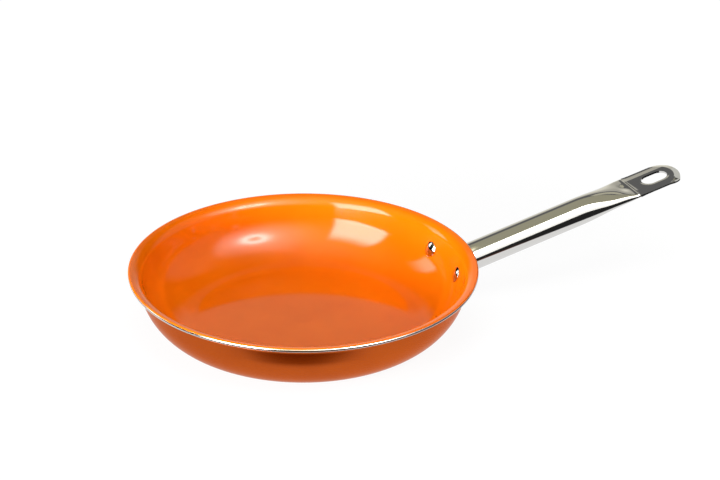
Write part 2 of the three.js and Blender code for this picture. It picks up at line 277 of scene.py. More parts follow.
def spin(bm, geom, centre, axis, turn, steps, close=False):
    return bmesh.ops.spin(
        bm, geom=geom, cent=centre, axis=axis, dvec=(0, 0, 0), angle=turn, steps=steps, use_merge=close,
        use_normal_flip=False, use_duplicate=False,
    )["geom_last"]


class SectionPen:
    """Draws lines and arcs with bmesh operators in the plane y = 0, ready to be spun about the pan's axis."""

    def __init__(self, bm, radius, height):
        self.bm = bm
        self.tip = bm.verts.new((radius, 0, height))

    def line(self, point):
        made = bmesh.ops.extrude_vert_indiv(self.bm, verts=[self.tip])
        self.tip = made["verts"][0]
        self.tip.co = (point[0], 0, point[1])

    def arc(self, centre, turn, steps):
        last = spin(self.bm, [self.tip], (centre[0], 0, centre[1]), (0, -1, 0), turn, steps)
        self.tip = verts_in(last)[0]

    def up_the_wall(self, section, offset, start=0.0):
        """From the corner over the straight wall and the flare to the end of the lip."""
        self.line(on_arc(section.corner, section.bend + offset, start))
        self.arc(section.corner, section.wall - start, CORNER_STEPS)
        self.line(on_arc(section.flare, offset - section.flare_bend, section.wall))
        self.arc(section.flare, section.lip - section.wall, FLARE_STEPS)
        self.line(on_arc(section.edge, offset - section.middle, section.lip))

    def down_the_wall(self, section, offset, stop=0.0):
        """The same way back."""
        self.line(on_arc(section.edge, offset - section.middle, section.lip))
        self.line(on_arc(section.flare, offset - section.flare_bend, section.lip))
        self.arc(section.flare, section.wall - section.lip, FLARE_STEPS)
        self.line(on_arc(section.corner, section.bend + offset, section.wall))
        self.arc(section.corner, stop - section.wall, CORNER_STEPS)


def spin_round(bm, steps=ROUND_STEPS, axis=(0, 0, 1)):
    """Spin everything drawn so far into a closed turned body."""
    spin(bm, bm.verts[:] + bm.edges[:], (0, 0, 0), axis, 2 * pi, steps, True)
    bmesh.ops.remove_doubles(bm, verts=bm.verts, dist=WELD_TOGETHER)


def soften(bm, edges, width, segments=2):
    """Round the given edges off."""
    bmesh.ops.bevel(
        bm, geom=edges, offset=width, offset_type="OFFSET", affect="EDGES", segments=segments, profile=0.5,
        material=-1, clamp_overlap=True,
    )


def grow(bm, loop, places):
    """Extrude a closed loop of vertices and put the new loop in its places."""
    fresh = set(verts_in(bmesh.ops.extrude_edge_only(bm, edges=loop_edges(bm, loop))["geom"]))
    grown = []
    for vert, place in zip(loop, places):
        copy = next(e.other_vert(vert) for e in vert.link_edges if e.other_vert(vert) in fresh)
        copy.co = place
        grown.append(copy)
    return grown


def place_mesh(bm, name, material):
    """Turn a bmesh into a smooth-shaded object in the scene."""
    for face in bm.faces:
        face.smooth = True
    mesh = bpy.data.meshes.new(name)
    bm.to_mesh(mesh)
    bm.free()
    mesh.materials.append(material)
    made = bpy.data.objects.new(name, mesh)
    bpy.context.scene.collection.objects.link(made)
    return made


def finish_piece(bm, name, material, node, sharp=35):
    """Turn a bmesh into a piece that rides with the pan and stands for its CAD node."""
    bmesh.ops.remove_doubles(bm, verts=bm.verts, dist=WELD_TOGETHER)
    bmesh.ops.recalc_face_normals(bm, faces=bm.faces)
    piece = place_mesh(bm, name, material)
    piece.data.set_sharp_from_angle(angle=radians(sharp))
    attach(piece, "root")
    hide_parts(node)


def stud_places(size, disc_radius):
    """Centres of the studs that hold the base disc."""
    pitch = (disc_radius - size.stud_margin) / size.stud_rings
    places = []
    for ring in range(1, size.stud_rings + 1):
        count = ring * size.studs_per_step
        for i in range(count):
            turn = 2 * pi * i / count
            places.append((ring * pitch * cos(turn), ring * pitch * sin(turn)))
    return places


def rivet_matrix(section, size, side):
    """Place of a rivet: on the wet face, with its +Z pointing into the pan."""
    radius, slope = wall_at(section, 0, size.rivet_height)
    turn = Matrix.Rotation(asin(side * size.rivet_spacing / 2 / radius), 4, "Z")
    lean = Matrix.Rotation(-slope, 4, "Y")
    return turn @ Matrix.Translation((radius, 0, size.rivet_height)) @ lean


def handle_matrix(section, size):
    """Place of the handle: +X along the tube's axis, from the outer face of the wall."""
    radius, slope = wall_at(section, 0, size.root_height)
    root = (radius + section.shell / sin(slope), 0, size.root_height)
    return Matrix.Translation(root) @ Matrix.Rotation(-size.rise, 4, "Y")


def reach_to_wall(section, matrix, offset, y, z):
    """How far along +X of a frame a line at (y, z) in it meets the wall moved out by an offset."""
    nearest, farthest = -30 * MM, 60 * MM

    def within_wall(along):
        point = matrix @ Vector((along, y, z))
        return hypot(point.x, point.y) <= wall_at(section, offset, point.z)[0]

    return halve(nearest, farthest, within_wall)


class TubePress:
    """Where the points of the round tube go when its end is pressed, in the handle's own frame."""

    def __init__(self, size):
        self.size = size
        self.tube = size.tube_diameter / 2
        self.core = size.tongue_thickness / 2
        self.half_width = self.core + pi / 2 * (self.tube - self.core)
        self.crease = size.length - size.tongue_length
        self.flatten = self.crease - size.flatten_length
        self.step_start = self.crease - size.step_length
        self.ramp_end = self.step_start - size.ledge_length
        self.slot = size.length - size.slot_to_tip
        self.tip_centre = size.length - size.tip_radius

    def tube_point(self, station, turn):
        """A point of the tube: oval at first, then flat with round sides, by way of a ledge and a step."""
        size = self.size
        oval_until = 0.4
        share = clamp((station - self.flatten) / (self.ramp_end - self.flatten))
        stepped = smooth((station - self.step_start) / size.step_length)
        ledge = self.core + size.step_height
        half = ledge + (self.tube - ledge) * cos(share * pi / 2) - size.step_height * stepped
        flat = pi / 2 * (self.tube - half)
        run = self.tube * asin(min(1.0, abs(sin(turn))))
        bend = min(run / half, pi / 2)
        across = flat + half * cos(bend) - max(0.0, run - pi / 2 * half)
        up = half * sin(bend)
        oval = 1 - smooth((share - oval_until) / (1 - oval_until))
        across += oval * (sqrt(2 * self.tube ** 2 - half ** 2) * abs(cos(turn)) - across)
        up += oval * (half * abs(sin(turn)) - up)
        if run > WELD_TOGETHER:
            up += stepped * (self.tongue_half(self.crease, across * self.half_width / (flat + half)) - up)
        up -= self.dent(station, across)
        up = copysign(up, sin(turn)) + size.tongue_lift * (1 - cos(share * pi / 2))
        return Vector((station, copysign(across, cos(turn)), up))

    def dent(self, station, across):
        """Depth of the hollow that pressing leaves just before the crease."""
        before_ramp_end, half_length, half_width = 3 * MM, 3.6 * MM, 5.5 * MM
        along = (station - (self.ramp_end - before_ramp_end)) / half_length
        aside = across / half_width
        return self.size.dent_depth * exp(-along ** 2 - aside ** 2)

    def to_tip(self, x, y):
        """Distance inside the tongue's round end."""
        if x < self.tip_centre:
            return self.size.tip_radius
        return self.size.tip_radius - hypot(x - self.tip_centre, y)

    def inset(self, x, y):
        """Distance inside the tongue's outline, up to the radius of its corners."""
        corner = self.size.tip_corner
        side = max(0.0, 1 - (self.half_width - abs(y)) / corner)
        end = max(0.0, 1 - self.to_tip(x, y) / corner)
        return corner * (1 - hypot(side, end))

    def tongue_half(self, x, y):
        """Half thickness of the tongue: a flat face with bevels to thinner borders, rising to the crease."""
        size = self.size
        border = size.border_thickness / 2
        raised = clamp((self.half_width - abs(y) - size.border_width) / size.bevel_width)
        half = border + (self.core - border) * raised
        reach_in_middle, more_at_sides = 2.5 * MM, 6 * MM
        reach = reach_in_middle + more_at_sides * (y / self.half_width) ** 2
        return half + size.run_out * max(0.0, 1 - (x - self.crease) / reach) ** 2

    def tongue_middle(self, x, y):
        """Height of the tongue's middle, which is turned down at the tip."""
        turned_down = max(0.0, self.size.tip_bevel - self.to_tip(x, y))
        return self.size.tongue_lift - turned_down * tan(self.size.tip_slope)

    def tongue_point(self, turn, away, face_up, fall=0.0):
        """A point of the tongue's top (1), bottom (-1) or edge (0), seen from the slot's centre."""
        x, y = self.slot + away * cos(turn), away * sin(turn)
        up = face_up * (self.tongue_half(x, y) - fall) if face_up else 0.0
        return Vector((x, y, up + self.tongue_middle(x, y)))

    def on_outline(self, turn):
        """Distance from the slot's centre to the tongue's outline."""
        beyond = 40 * MM
        along, aside = cos(turn), sin(turn)
        return halve(0.0, beyond, lambda away: self.inset(self.slot + away * along, away * aside) > 0)

    def on_slot(self, turn, radius):
        """Distance from the slot's centre to a slot whose round ends have this radius."""
        flat = (self.size.slot_length - self.size.slot_width) / 2
        along, aside = abs(cos(turn)), abs(sin(turn))
        if along * radius <= flat * aside:
            return radius / aside
        return flat * along + sqrt(max(0.0, radius ** 2 - (flat * aside) ** 2))


# Finishes


def node(tree, kind, inputs=None, **settings):
    """Add a node, set it up and link or set its inputs."""
    made = tree.nodes.new(kind)
    for key, value in settings.items():
        setattr(made, key, value)
    for key, value in (inputs or {}).items():
        if isinstance(value, bpy.types.NodeSocket):
            tree.links.new(value, made.inputs[key])
        else:
            made.inputs[key].default_value = value
    return made


def place_on_piece(tree):
    return node(tree, "ShaderNodeTexCoord").outputs["Object"]


def noise(tree, where, scale, detail=2.0, rough=0.5):
    inputs = {"Vector": where, "Scale": scale, "Detail": detail, "Roughness": rough}
    return node(tree, "ShaderNodeTexNoise", inputs).outputs["Fac"]


def calc(tree, operation, *values):
    return node(tree, "ShaderNodeMath", dict(enumerate(values)), operation=operation).outputs[0]


def times(tree, value, *others):
    for other in others:
        value = calc(tree, "MULTIPLY", value, other)
    return value


def ease(tree, value, start, stop, low=0.0, high=1.0, kind="SMOOTHSTEP"):
    """Go from low to high as a value goes from start to stop."""
    inputs = {"Value": value, "From Min": start, "From Max": stop, "To Min": low, "To Max": high}
    return node(tree, "ShaderNodeMapRange", inputs, interpolation_type=kind).outputs["Result"]


def between(tree, value, start, full, fade, stop):
    """Rise from 0 to 1 between start and full, and fall back between fade and stop."""
    return times(tree, ease(tree, value, start, full), ease(tree, value, stop, fade))


def spread(tree, factor, low, high, start=0.3, stop=0.7):
    return ease(tree, factor, start, stop, low, high, "LINEAR")


def set_ramp(ramp, stops):
    """Set a colour ramp to a list of positions and colours."""
    while len(ramp.elements) < len(stops):
        ramp.elements.new(1.0)
    for element, (position, tone) in zip(ramp.elements, stops):
        element.position = position
        element.color = (*tone, 1)


def blend_colours(tree, factor, low, high, start=0.35, stop=0.65):
    made = node(tree, "ShaderNodeValToRGB", {"Fac": factor})
    set_ramp(made.color_ramp, [(start, low), (stop, high)])
    return made.outputs["Color"]


def relief(tree, height, distance, strength):
    inputs = {"Height": height, "Distance": distance, "Strength": strength}
    return node(tree, "ShaderNodeBump", inputs).outputs["Normal"]


def vector_calc(tree, operation, output, *values):
    return node(tree, "ShaderNodeVectorMath", dict(enumerate(values)), operation=operation).outputs[output]


def turned(tree, where, axis, turn):
    inputs = {"Vector": where, "Angle": turn}
    return node(tree, "ShaderNodeVectorRotate", inputs, rotation_type=axis).outputs["Vector"]


def parts_of(tree, where):
    return node(tree, "ShaderNodeSeparateXYZ", {"Vector": where}).outputs


def from_axis(tree, where):
    """Distance from the pan's axis."""
    flat = vector_calc(tree, "MULTIPLY", "Vector", where, (1, 1, 0))
    return vector_calc(tree, "LENGTH", "Value", flat)


def turned_lines(tree, where, scale):
    """Fine rings round the pan's axis, as a lathe leaves them."""
    inputs = {"X": from_axis(tree, where), "Y": parts_of(tree, where)["Z"]}
    return noise(tree, node(tree, "ShaderNodeCombineXYZ", inputs).outputs["Vector"], scale, 3.0, 0.6)


def drawn_lines(tree, where, rise, along, across):
    """Fine lines along the handle, as polishing a drawn tube leaves them."""
    inputs = {"Vector": turned(tree, where, "Y_AXIS", rise), "Scale": (along, across, across)}
    return noise(tree, node(tree, "ShaderNodeMapping", inputs).outputs["Vector"], 1.0, 3.0, 0.6)


def sky(tree, tone, strength):
    return node(tree, "ShaderNodeBackground", {"Color": (*tone, 1), "Strength": strength}).outputs[0]


def glowing(tree, tone, strength=1.0):
    return node(tree, "ShaderNodeEmission", {"Color": (*tone, 1), "Strength": strength}).outputs[0]


def mix(tree, factor, first, second):
    return node(tree, "ShaderNodeMixShader", {0: factor, 1: first, 2: second}).outputs[0]


def dulled(tone, share):
    return [share * part for part in tone]


def blank_finish(name):
    """A new material and its node tree."""
    material = bpy.data.materials.new(name)
    material.use_nodes = True
    return material, material.node_tree


def bare_finish(name):
    """A new material whose node tree is empty."""
    material, tree = blank_finish(name)
    tree.nodes.clear()
    return material, tree


def dress(material, tint, rough, normal, constants):
    """Link what varies over a surface to its shader, set what is the same all over, and give the material."""
    shader = material.node_tree.nodes["Principled BSDF"]
    for socket, value in (("Base Color", tint), ("Roughness", rough), ("Normal", normal)):
        material.node_tree.links.new(value, shader.inputs[socket])
    for socket, value in constants.items():
        shader.inputs[socket].default_value = value
    return material


def orange_coat(colours):
    """Glossy orange non-stick coat: soft clouds, fine flecks, a faint orange-peel skin and a painted dark
    reflection in the middle of the floor.
    """
    material, tree = blank_finish("orange_coat")
    where = place_on_piece(tree)
    # The middle of the floor is painted darker, as a painted dark reflection; the clouds carry it into the
    # shade colour.
    painted_centre_reflection = ease(tree, from_axis(tree, where), 9 * MM, 0, 0, 0.5)
    clouds = calc(tree, "SUBTRACT", noise(tree, where, 28, 3.0), painted_centre_reflection)
    tint = blend_colours(tree, clouds, colours.lining_shade, colours.lining)
    rough = spread(tree, noise(tree, where, 2400, 1.0), 0.07, 0.10)
    peel = relief(tree, noise(tree, where, 420, 2.0), 0.00002, 0.35)
    return dress(material, tint, rough, peel, {"IOR": 1.5})


def copper_lacquer(colours):
    """Brown-copper lacquer: metallic flakes under a clear glossy coat."""
    material, tree = blank_finish("copper_lacquer")
    where = place_on_piece(tree)
    flakes = noise(tree, where, 3200, 1.0)
    tint = blend_colours(tree, noise(tree, where, 22, 3.0), colours.lacquer_shade, colours.lacquer)
    clear_coat = {"Specular Tint": (1.0, 0.60, 0.42, 1), "Coat Weight": 0.2, "Coat Roughness": 0.08}
    rough = spread(tree, flakes, 0.24, 0.34)
    return dress(material, tint, rough, relief(tree, flakes, 0.00001, 0.25), METAL | clear_coat)


def patterned_metal(name, tone, dull, blend, rough, depth, draw, *scale):
    """Metal whose tint, shine and relief follow one pattern."""
    material, tree = blank_finish(name)
    pattern = draw(tree, place_on_piece(tree), *scale)
    tint = blend_colours(tree, pattern, dulled(tone, dull), tone, *blend)
    return dress(material, tint, spread(tree, pattern, *rough), relief(tree, pattern, *depth), METAL)


def turned_aluminium(colours):
    """Bare aluminium with fine turned rings."""
    rough, depth = (0.14, 0.26), (0.00001, 0.4)
    return patterned_metal(
        "turned_aluminium", colours.aluminium, 0.86, (0.3, 0.7), rough, depth, turned_lines, 3500
    )


def polished_steel(colours, rise):
    """Polished steel with faint drawn lines and a slightly uneven shine."""
    material, tree = blank_finish("polished_steel")
    where = place_on_piece(tree)
    lines = drawn_lines(tree, where, rise, 14, 2600)
    tint = blend_colours(tree, lines, dulled(colours.steel, 0.94), colours.steel, 0.3, 0.7)
    rough = spread(tree, noise(tree, where, 60, 3.0), 0.055, 0.095)
    return dress(material, tint, rough, relief(tree, lines, 0.000004, 0.3), METAL)


def rivet_steel(colours):
    """Bright headed rivets with small marks from setting."""
    rough, depth = (0.08, 0.16), (0.00002, 0.3)
    return patterned_metal("rivet_steel", colours.steel, 0.90, (0.35, 0.65), rough, depth, noise, 500, 3.0)


def base_steel(colours):
    """Turned steel disc with plain rings and a satin shine."""
    rough, depth = (0.28, 0.42), (0.00003, 0.5)
    return patterned_metal("base_steel", colours.disc, 0.80, (0.3, 0.7), rough, depth, turned_lines, 1600)


def weld_steel(colours):
    """Weld bead with a straw heat tint and a grainy skin."""
    material, tree = blank_finish("weld_steel")
    where = place_on_piece(tree)
    grain = noise(tree, where, 1800, 3.0)
    tint = blend_colours(tree, noise(tree, where, 220, 3.0), colours.weld_tint, colours.weld)
    return dress(material, tint, spread(tree, grain, 0.30, 0.48), relief(tree, grain, 0.00006, 0.5), METAL)


# Operators, one for each piece or group of like pieces


class FRYINGPAN_OT_sheet(bpy.types.Operator):
    """Turn the aluminium shell with its rounded bare edge, and put the base studs on its underside"""

    bl_idname = "fryingpan.sheet"
    bl_label = "Turn the Sheet"

    def execute(self, context):
        size = context.scene.pan_shell
        section = section_of(size)
        seat_radius = section.disc + size.disc_gap
        stud_round = 0.25 * MM
        bm = bmesh.new()
        pen = SectionPen(bm, seat_radius, size.disc_thickness)
        pen.line((seat_radius, 0))
        pen.line((section.corner.x, 0))
        pen.arc(section.corner, size.bare_foot, HEM_STEPS)
        pen.up_the_wall(section, section.outside, size.bare_foot)
        pen.arc(section.edge, pi, EDGE_STEPS)
        pen.down_the_wall(section, section.inside)
        pen.line((0, section.shell - section.inside))
        spin_round(bm)
        rim = open_edges(bm)
        discs = []
        for x, y in stud_places(size, section.disc):
            place = Matrix.Translation((x, y, size.disc_thickness))
            disc = circle(bm, size.stud_diameter / 2, STUD_SIDES, place, True)[0].link_faces[0]
            discs.append(disc)
            rim.extend(disc.edges)
        fill(bm, rim)
        tips = bmesh.ops.extrude_discrete_faces(bm, faces=discs)["faces"]
        for tip in tips:
            bmesh.ops.translate(bm, verts=tip.verts, vec=(0, 0, -size.disc_thickness))
        soften(bm, [edge for tip in tips for edge in tip.edges], stud_round)
        material = turned_aluminium(context.scene.pan_colours)
        finish_piece(bm, "aluminium_shell", material, "pan_body")
        return {"FINISHED"}


class FRYINGPAN_OT_coats(bpy.types.Operator):
    """Lay the orange lining over the wet face and the rim, and the copper lacquer over the outside"""

    bl_idname = "fryingpan.coats"
    bl_label = "Lay the Coats"

    def execute(self, context):
        size = context.scene.pan_shell
        colours = context.scene.pan_colours
        section = section_of(size)
        half = size.coat / 2

        bm = bmesh.new()
        pen = SectionPen(bm, 0, section.shell)
        pen.up_the_wall(section, 0)
        pen.arc(section.edge, -size.edge_cover, COVER_STEPS)
        cover_end = section.lip + pi - size.edge_cover
        hem = on_arc(section.edge, section.edge_radius + size.bond_gap + half, cover_end)
        pen.arc(hem, -pi, HEM_STEPS)
        pen.arc(section.edge, size.edge_cover, COVER_STEPS)
        pen.down_the_wall(section, size.coat)
        pen.line((0, section.shell - size.coat))
        spin_round(bm)
        finish_piece(bm, "orange_lining", orange_coat(colours), "nonstick_lining")

        start = size.bare_foot + size.bond_gap / section.bend
        bm = bmesh.new()
        pen = SectionPen(bm, *on_arc(section.corner, section.bend + section.shell, start))
        pen.up_the_wall(section, section.shell, start)
        top = on_arc(section.edge, section.shell - half - section.middle, section.lip)
        pen.arc(top, pi, HEM_STEPS)
        pen.down_the_wall(section, section.shell - size.coat, start)
        foot = on_arc(section.corner, section.bend + section.shell - half, start)
        pen.arc(foot, pi, HEM_STEPS)
        spin_round(bm)
        finish_piece(bm, "copper_coat", copper_lacquer(colours), "outer_lacquer")
        return {"FINISHED"}


class FRYINGPAN_OT_base(bpy.types.Operator):
    """Cut the base disc, with a hole for each stud"""

    bl_idname = "fryingpan.base"
    bl_label = "Cut the Base Disc"

    def execute(self, context):
        size = context.scene.pan_shell
        section = section_of(size)
        hole = size.stud_diameter / 2 + size.disc_gap
        rim_round = 0.2 * MM
        bm = bmesh.new()
        circle(bm, section.disc, DISC_SIDES, Matrix.Identity(4))
        for x, y in stud_places(size, section.disc):
            circle(bm, hole, STUD_SIDES, Matrix.Translation((x, y, 0)))
        fill(bm, bm.edges[:])
        rims = open_edges(bm)
        lifted = verts_in(bmesh.ops.extrude_face_region(bm, geom=bm.faces[:])["geom"])
        bmesh.ops.translate(bm, verts=lifted, vec=(0, 0, size.disc_thickness))
        soften(bm, rims, rim_round)
        finish_piece(bm, "base_disc", base_steel(context.scene.pan_colours), "base_plate")
        return {"FINISHED"}


class FRYINGPAN_OT_rivets(bpy.types.Operator):
    """Turn the two rivets and set them through the wall"""

    bl_idname = "fryingpan.rivets"
    bl_label = "Set the Rivets"

    def execute(self, context):
        size = context.scene.pan_handle
        section = section_of(context.scene.pan_shell)
        material = rivet_steel(context.scene.pan_colours)
        head = size.head_diameter / 2
        shoulder = size.head_round
        shoulder_height = size.head_edge - shoulder
        inset = head - shoulder
        rise = size.head_height - shoulder_height
        dome = (inset ** 2 + rise ** 2 - shoulder ** 2) / (2 * (rise - shoulder))
        dome_turn = asin(inset / (dome - shoulder))
        tail_top = -saddle_face(section, size)
        tail_end = tail_top - size.tail_height
        tail = size.tail_diameter / 2
        shank = size.shank_diameter / 2
        crown, sink = 0.9 * MM, 0.4 * MM
        dome_steps, shoulder_steps, crown_steps = 10, 8, 6
        neck = ((head, -sink), (shank, -sink), (shank, tail_top), (tail, tail_top), (tail, tail_end + crown))
        for side, name, cad_node in ((1, "rivet_far", "rivet_left"), (-1, "rivet_near", "rivet_right")):
            bm = bmesh.new()
            pen = SectionPen(bm, 0, size.head_height)
            pen.arc((0, size.head_height - dome), -dome_turn, dome_steps)
            pen.arc((inset, shoulder_height), dome_turn - pi / 2, shoulder_steps)
            for point in neck:
                pen.line(point)
            pen.arc((tail - crown, tail_end + crown), -pi / 2, crown_steps)
            pen.line((0, tail_end))
            spin_round(bm, RIVET_SIDES)
            matrix = rivet_matrix(section, size, side)
            outward = matrix @ Matrix.Rotation(pi / 2, 4, "Y")
            for vert in bm.verts:
                if vert.co.z < 0 and hypot(vert.co.x, vert.co.y) > (head + tail) / 2:
                    vert.co.z = -reach_to_wall(section, outward, -size.seat_gap, vert.co.y, vert.co.x)
            bmesh.ops.transform(bm, matrix=matrix, verts=bm.verts)
            finish_piece(bm, name, material, cad_node)
        return {"FINISHED"}


class FRYINGPAN_OT_saddle(bpy.types.Operator):
    """Trim a plate to the saddle's outline and form it to the wall"""

    bl_idname = "fryingpan.saddle"
    bl_label = "Form the Saddle"

    def execute(self, context):
        size = context.scene.pan_handle
        section = section_of(context.scene.pan_shell)
        inner = section.shell + size.seat_gap
        outer = saddle_face(section, size)
        half_width, half_height, rim_round = 35 * MM, 17 * MM, 0.55 * MM
        cuts, rim_angle = 96, radians(60)
        hub_height = size.root_height + (outer - section.shell) * tan(size.rise)
        hub_radius = size.tube_diameter / 2 + size.seat_gap + size.weld_leg + size.saddle_margin
        wing_height = size.rivet_height - outer * cos(wall_at(section, 0, size.rivet_height)[1])
        rounds = [(0, hub_height, hub_radius)]
        for side in (-1, 1):
            rounds.append((side * size.rivet_spacing / 2, wing_height, size.saddle_wing))
        upright = Matrix(((0, 0, 1, 0), (1, 0, 0, 0), (0, 1, 0, hub_height), (0, 0, 0, 1)))
        bm = bmesh.new()
        plate = upright @ Matrix.Diagonal((half_width, half_height, 1, 1))
        bmesh.ops.create_grid(bm, x_segments=70, y_segments=34, size=1.0, matrix=plate)
        for i in range(cuts):
            turn = 2 * pi * i / cuts
            out = Vector((0, cos(turn), sin(turn)))
            reach = max(y * out.y + z * out.z + radius for y, z, radius in rounds)
            bmesh.ops.bisect_plane(
                bm, geom=bm.verts[:] + bm.edges[:] + bm.faces[:], dist=ON_PLANE, plane_co=out * reach,
                plane_no=out, clear_outer=True, clear_inner=False,
            )
        for vert in bm.verts:
            radius, _slope = wall_at(section, inner, vert.co.z)
            vert.co.x = sqrt(radius ** 2 - vert.co.y ** 2)
        bmesh.ops.recalc_face_normals(bm, faces=bm.faces)
        for vert in verts_in(bmesh.ops.extrude_face_region(bm, geom=bm.faces[:])["geom"]):
            slope = wall_at(section, inner, vert.co.z)[1]
            turn = atan2(vert.co.y, vert.co.x)
            flat = sin(slope)
            out = Vector((flat * cos(turn), flat * sin(turn), -cos(slope)))
            vert.co += out * size.saddle_thickness
        bmesh.ops.recalc_face_normals(bm, faces=bm.faces)
        rims = [edge for edge in bm.edges if edge.calc_face_angle(0) > rim_angle]
        soften(bm, rims, rim_round, 3)
        material = polished_steel(context.scene.pan_colours, 0)
        finish_piece(bm, "handle_saddle", material, "handle_bracket", 50)
        return {"FINISHED"}


class FRYINGPAN_OT_handle(bpy.types.Operator):
    """Draw the tube, press its end flat without changing its girth, and punch the hanging slot"""

    bl_idname = "fryingpan.handle"
    bl_label = "Press the Handle"

    def execute(self, context):
        size = context.scene.pan_handle
        section = section_of(context.scene.pan_shell)
        matrix = handle_matrix(section, size)
        press = TubePress(size)
        bm = bmesh.new()
        ring = self.draw_tube(bm, section, matrix, press)
        self.form_tongue(bm, ring, press)
        bmesh.ops.transform(bm, matrix=matrix, verts=bm.verts)
        material = polished_steel(context.scene.pan_colours, size.rise)
        finish_piece(bm, "steel_handle", material, "handle_tube", 50)
        return {"FINISHED"}

    def draw_tube(self, bm, section, matrix, press):
        """From the saddle to the crease. Gives the last ring of vertices, from the far side over the top."""
        size = press.size
        face = saddle_face(section, size)
        sink, before_ramp, full_turn = 0.5 * MM, 6 * MM, 2 * pi
        on_round_tube = [25 * MM, 55 * MM, 85 * MM]
        ring = circle(bm, press.tube, TUBE_SIDES, Matrix.Rotation(pi / 2, 4, "Y"))
        ring = sorted(ring, key=lambda vert: atan2(vert.co.z, vert.co.y) % (full_turn - 1e-6))
        turns = [full_turn * i / TUBE_SIDES for i in range(TUBE_SIDES)]
        for vert, turn in zip(ring, turns):
            vert.co = press.tube_point(0, turn)
            vert.co.x = reach_to_wall(section, matrix, face, vert.co.y, vert.co.z) - sink
        bmesh.ops.holes_fill(bm, edges=bm.edges[:], sides=0)
        stations = on_round_tube + [press.flatten - before_ramp]
        for start, stop, steps in (
            (press.flatten, press.ramp_end, 40),
            (press.ramp_end, press.step_start, 4),
            (press.step_start, press.crease, 5),
        ):
            stations += [start + (stop - start) * i / steps for i in range(steps)]
        for station in stations + [press.crease]:
            ring = grow(bm, ring, [press.tube_point(station, turn) for turn in turns])
        return ring

    def form_tongue(self, bm, ring, press):
        """From the crease round the tip, then inwards over both faces to the slot."""
        size = press.size
        half = len(ring) // 2
        corner_turn = atan2(press.half_width, press.crease - press.slot)
        edge_steps, loops, dish_shares = 120, 16, (0.1, 0.5, 1)
        tongue_edge = []
        tip_vert = ring[half]
        for i in range(1, edge_steps):
            turn = -corner_turn + 2 * corner_turn * i / edge_steps
            tip_vert = bmesh.ops.extrude_vert_indiv(bm, verts=[tip_vert])["verts"][0]
            tip_vert.co = press.tongue_point(turn, press.on_outline(turn), 0)
            tongue_edge.append(tip_vert)
        bm.edges.new((tongue_edge[-1], ring[0]))

        dish_outside = size.slot_width / 2 + size.dish_width
        slot_rims = []
        for face_up, loop in (
            (1, ring[: half + 1] + tongue_edge),
            (-1, ring[half:] + ring[:1] + tongue_edge[::-1]),
        ):
            turns = [atan2(vert.co.y, vert.co.x - press.slot) for vert in loop]
            starts = [hypot(vert.co.x - press.slot, vert.co.y) for vert in loop]
            stops = [press.on_slot(turn, dish_outside) for turn in turns]
            rows = []
            for i in range(loops + 1):
                rows.append(([start + (stop - start) * i / loops for start, stop in zip(starts, stops)], 0.0))
            for share in dish_shares:
                inside = dish_outside - size.dish_width * share
                rows.append(([press.on_slot(turn, inside) for turn in turns], size.dish_depth * share))
            for aways, fall in rows:
                places = [press.tongue_point(turn, away, face_up, fall) for turn, away in zip(turns, aways)]
                loop = grow(bm, loop, places)
            slot_rims += loop_edges(bm, loop)
        bmesh.ops.bridge_loops(bm, edges=slot_rims)


class FRYINGPAN_OT_weld(bpy.types.Operator):
    """Lay the weld bead round the tube where it meets the saddle"""

    bl_idname = "fryingpan.weld"
    bl_label = "Lay the Weld"

    def execute(self, context):
        size = context.scene.pan_handle
        section = section_of(context.scene.pan_shell)
        matrix = handle_matrix(section, size)
        face = saddle_face(section, size)
        proud = 0.35 * MM
        seam = size.tube_diameter / 2 + proud
        bead = 0.8 * size.weld_leg
        ripples, ripple_share, waves, wave_share = 30, 0.09, 7, 0.05
        bm = bmesh.new()
        circle(bm, bead, WELD_SIDES, Matrix.Translation((0, seam, 0)))
        spin_round(bm, WELD_STEPS, (1, 0, 0))
        for vert in bm.verts:
            turn = atan2(vert.co.z, vert.co.y)
            out = Vector((0, cos(turn), sin(turn)))
            swell = ripple_share * abs(sin(ripples * turn)) + wave_share * sin(waves * turn + 1)
            vert.co = out * seam + (vert.co - out * seam) * (1 + swell)
            vert.co.x += reach_to_wall(section, matrix, face, seam * out.y, seam * out.z) + proud
        bmesh.ops.transform(bm, matrix=matrix, verts=bm.verts)
        material = weld_steel(context.scene.pan_colours)
        finish_piece(bm, "weld_bead", material, "handle_weld", 60)
        return {"FINISHED"}


